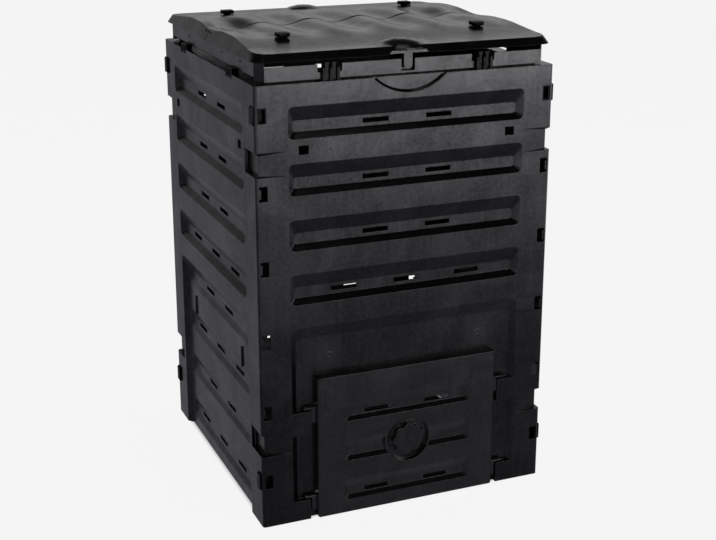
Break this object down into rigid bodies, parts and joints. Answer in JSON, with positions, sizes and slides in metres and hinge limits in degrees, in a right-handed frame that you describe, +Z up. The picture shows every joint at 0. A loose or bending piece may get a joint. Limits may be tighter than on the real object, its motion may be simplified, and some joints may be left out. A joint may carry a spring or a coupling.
{
  "type": "compost bin with lid",
  "caption": "Square slotted plastic compost bin with clipped corners, a lifting harvest door with an air knob, and a gabled lid of two hinged wings.",
  "frame": {"origin": "on the ground under the middle of the bin", "axes": "+Z up, -Y out of the harvest door, +X to the right of someone who faces the door"},
  "size_m": [0.608, 0.6115, 0.9302],
  "materials": {
    "wall_plastic": "black moulded polypropylene, satin, with flow marks",
    "door_plastic": "black moulded polypropylene, satin",
    "lid_plastic": "black moulded polypropylene, satin, lightly dulled",
    "frame_plastic": "black moulded polypropylene, satin",
    "clip_plastic": "black nylon, half matte",
    "knob_plastic": "black moulded polypropylene, satin"
  },
  "bodies": {
    "bin": {"front_wall": "wall_plastic", "right_wall": "wall_plastic", "back_wall": "wall_plastic", "left_wall": "wall_plastic", "frame_bracket_front_a": "clip_plastic", "frame_bracket_front_b": "clip_plastic", "frame_bracket_right_a": "clip_plastic", "frame_bracket_right_b": "clip_plastic", "frame_bracket_back_a": "clip_plastic", "frame_bracket_back_b": "clip_plastic", "frame_bracket_left_a": "clip_plastic", "frame_bracket_left_b": "clip_plastic", "corner_clip_front_a_low": "clip_plastic", "corner_clip_front_a_high": "clip_plastic", "corner_clip_front_b_low": "clip_plastic", "corner_clip_front_b_high": "clip_plastic", "corner_clip_back_a_low": "clip_plastic", "corner_clip_back_a_high": "clip_plastic", "corner_clip_back_b_low": "clip_plastic", "corner_clip_back_b_high": "clip_plastic", "lid_frame": "frame_plastic"},
    "front_lid_wing": {"front_wing": "lid_plastic", "front_wing_brace": "frame_plastic", "front_wing_clip_a": "clip_plastic", "front_wing_clip_b": "clip_plastic"},
    "rear_lid_wing": {"rear_wing": "lid_plastic", "rear_wing_brace": "frame_plastic", "rear_wing_clip_a": "clip_plastic", "rear_wing_clip_b": "clip_plastic"},
    "harvest_door": {"door_panel": "door_plastic"},
    "air_knob": {"door_knob": "knob_plastic", "knob_retainer": "clip_plastic"}
  },
  "joints": [
    {"name": "front_wing_hinge", "type": "hinge", "parent": "bin", "child": "front_lid_wing", "pos_m": [0, -0.034, 0.9105], "axis": [-1, 0, 0], "range_deg": [0, 85]},
    {"name": "rear_wing_hinge", "type": "hinge", "parent": "bin", "child": "rear_lid_wing", "pos_m": [0, 0.034, 0.9105], "axis": [1, 0, 0], "range_deg": [0, 85]},
    {"name": "door_slide", "type": "slide", "parent": "bin", "child": "harvest_door", "axis": [0, 0, 1], "range_m": [0, 0.076]},
    {"name": "knob_turn", "type": "hinge", "parent": "harvest_door", "child": "air_knob", "pos_m": [0, -0.3, 0.137], "axis": [0, 1, 0], "range_deg": [0, 45]}
  ]
}
